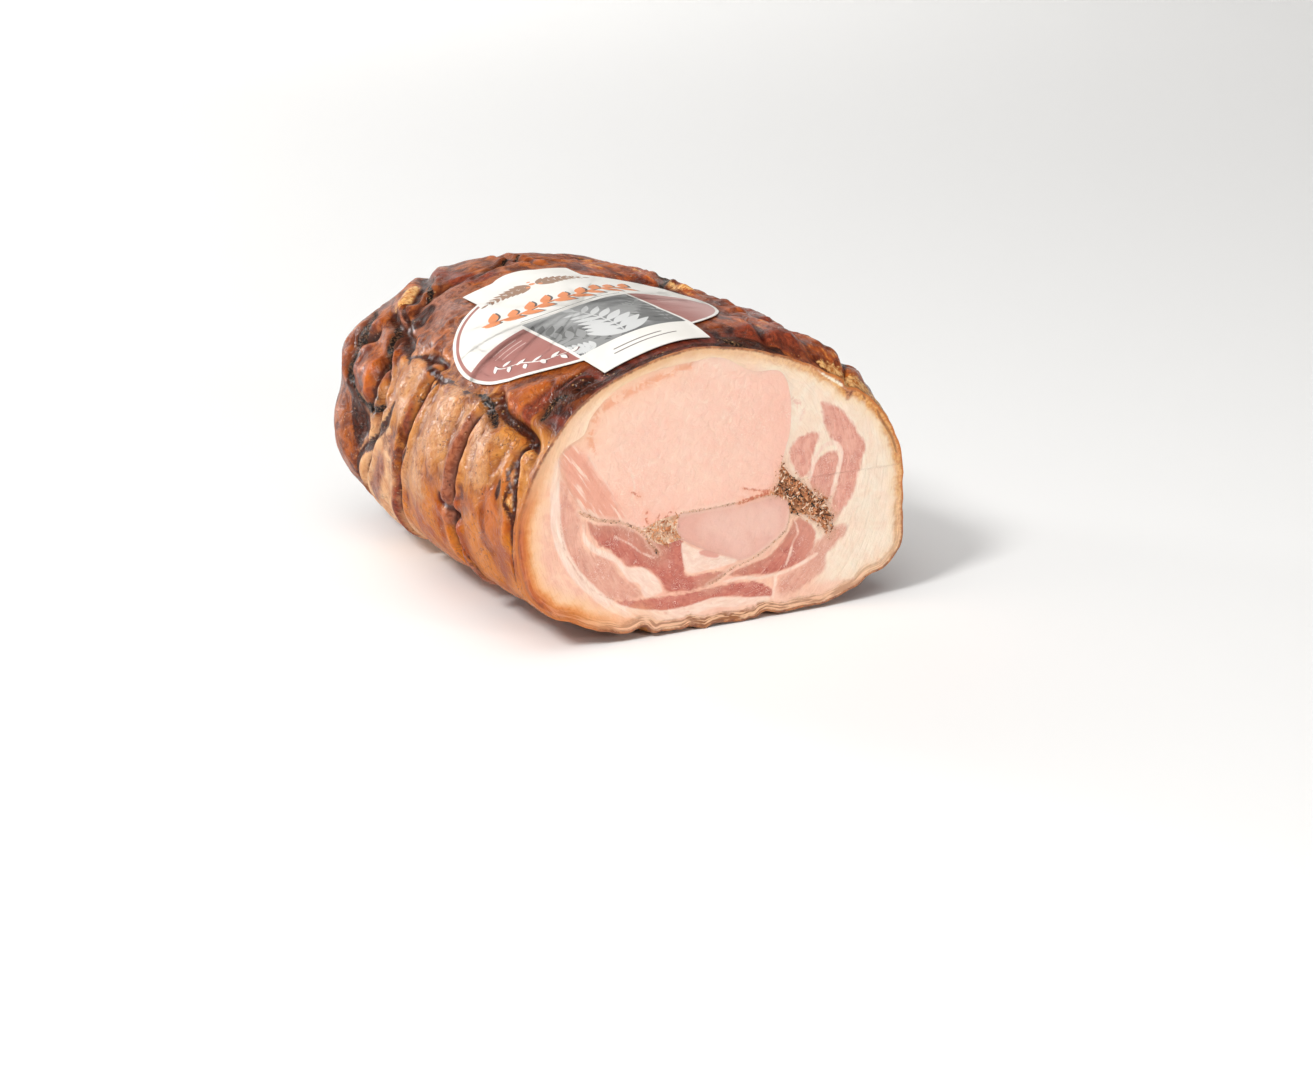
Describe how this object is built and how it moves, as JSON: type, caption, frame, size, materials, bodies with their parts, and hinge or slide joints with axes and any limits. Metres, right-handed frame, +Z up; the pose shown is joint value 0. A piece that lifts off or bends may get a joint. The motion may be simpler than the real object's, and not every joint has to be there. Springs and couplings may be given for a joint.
{
  "type": "porchetta half",
  "caption": "Half of a rolled roast pork with browned, string-creased skin, a flat cut face showing loin, fillet and herb seasoning, and a paper label.",
  "frame": {"origin": "centre of the bounding box's base, on the table", "axes": "+Y runs along the roast from the cut face to the tied end, +Z is up"},
  "size_m": [0.2148, 0.255, 0.1416],
  "materials": {
    "roast_pork": "glossy browned rind outside, moist pale fat and streaky meat on the cut",
    "lean_meat": "moist pale pink cooked loin",
    "tender_meat": "moist greyish pink cooked fillet",
    "herb_seasoning": "coarse brown herb and pepper crumbs",
    "label_paper": "satin coated paper with printed fields of colour"
  },
  "bodies": {
    "root": {"belly": "roast_pork", "loin": "lean_meat", "tenderloin": "tender_meat", "herb_seasoning_right": "herb_seasoning", "herb_seasoning_left": "herb_seasoning", "label": "label_paper"}
  },
  "joints": []
}
